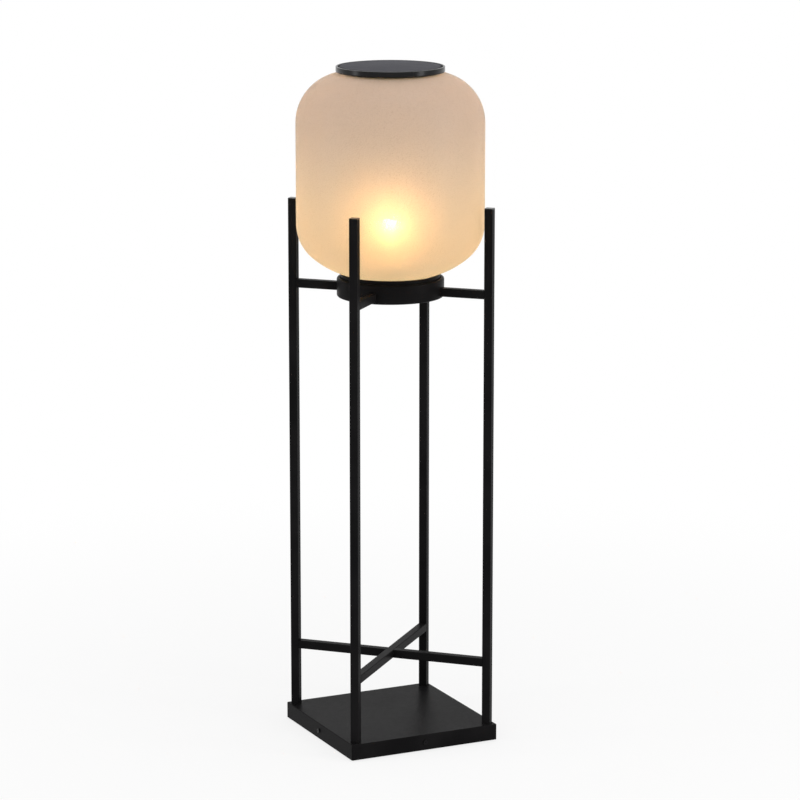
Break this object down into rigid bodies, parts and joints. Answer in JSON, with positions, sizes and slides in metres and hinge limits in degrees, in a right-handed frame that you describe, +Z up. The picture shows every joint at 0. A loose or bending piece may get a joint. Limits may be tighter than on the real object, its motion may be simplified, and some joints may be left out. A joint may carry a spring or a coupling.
{
  "type": "solar path light",
  "caption": "Floor-standing solar lantern: frosted glass shade with a round solar lid, held in a ring by black square-tube legs on a square weighted base.",
  "frame": {"origin": "on the floor, under the middle of the square base", "axes": "+Z up along the lantern's axis; -Y is the front, with the legs on the diagonals"},
  "size_m": [0.28, 0.28, 1.0169],
  "materials": {
    "black_powder_coat": "matt black powder coat, fine texture",
    "black_cast_aluminium": "black painted casting",
    "ballast_iron": "black-dipped casting",
    "blackened_steel": "black oxide",
    "zinc_steel": "bright zinc plate",
    "spring_steel": "bright spring strip",
    "nickel_cap": "nickel-plated screw cap",
    "black_rubber": "matt",
    "button_rubber": "satin",
    "black_plastic": "fine moulded texture",
    "white_plastic": "satin moulded",
    "frosted_glass": "acid-frosted, warm white",
    "bulb_diffuser": "opal, lit warm white",
    "led_phosphor": "yellow phosphor",
    "white_circuit_board": "solder mask",
    "green_circuit_board": "solder mask",
    "solar_silicon": "dark crystalline silicon",
    "panel_laminate": "dark satin laminate",
    "battery_wrap": "shrink wrap",
    "terminal_plastic": "moulded",
    "chip_plastic": "moulded",
    "lead_insulation": "soft insulation"
  },
  "bodies": {
    "stand": {"base_pan": "black_powder_coat", "ballast_plate": "ballast_iron", "base_side_screws": "blackened_steel", "rubber_feet": "black_rubber", "foot_screws": "zinc_steel", "leg_front_left": "black_powder_coat", "leg_front_right": "black_powder_coat", "leg_rear_left": "black_powder_coat", "leg_rear_right": "black_powder_coat", "leg_top_caps": "black_plastic", "leg_thread_plugs": "zinc_steel", "leg_bolts": "zinc_steel", "leg_bolt_washers": "zinc_steel", "brace_through_bar": "black_powder_coat", "brace_half_bar_front_right": "black_powder_coat", "brace_half_bar_rear_left": "black_powder_coat", "arm_front_left": "black_powder_coat", "arm_front_right": "black_powder_coat", "arm_rear_left": "black_powder_coat", "arm_rear_right": "black_powder_coat", "holder_ring": "black_powder_coat", "seat_pad": "black_rubber"},
    "lantern": {"lantern_cup": "black_cast_aluminium", "bottom_cover": "black_plastic", "cover_screws": "blackened_steel", "reflector_disc": "white_plastic", "shade_gasket": "black_rubber", "glass_shade": "frosted_glass", "lamp_holder": "white_plastic", "lamp_holder_screws": "zinc_steel", "bulb_cap": "nickel_cap", "bulb_body": "white_plastic", "led_board": "white_circuit_board", "led_chips": "led_phosphor", "bulb_globe": "bulb_diffuser", "cable_conduit": "white_plastic", "conduit_grommet": "black_rubber", "lid_housing": "black_plastic", "lid_spigot": "black_plastic", "conduit_socket": "black_plastic", "lid_gasket": "black_rubber", "lid_clips": "spring_steel", "panel_backing": "white_circuit_board", "solar_cells": "solar_silicon", "panel_cover": "panel_laminate", "battery_tray": "black_plastic", "battery_cells": "battery_wrap", "controller_board": "green_circuit_board", "board_screws": "zinc_steel", "terminal_block": "terminal_plastic", "controller_chips": "chip_plastic", "solar_lead": "lead_insulation", "battery_lead": "lead_insulation", "lamp_lead": "lead_insulation", "switch_lead": "lead_insulation", "switch_body": "black_plastic", "switch_nut": "zinc_steel"},
    "button": {"switch_button": "button_rubber"}
  },
  "joints": [
    {"name": "lantern_lift", "type": "slide", "parent": "stand", "child": "lantern", "axis": [0, 0, 1], "range_m": [0, 0.15]},
    {"name": "switch_press", "type": "slide", "parent": "lantern", "child": "button", "axis": [0, 0, 1], "range_m": [0, 0.0015], "stiffness_N_per_m": 800}
  ]
}
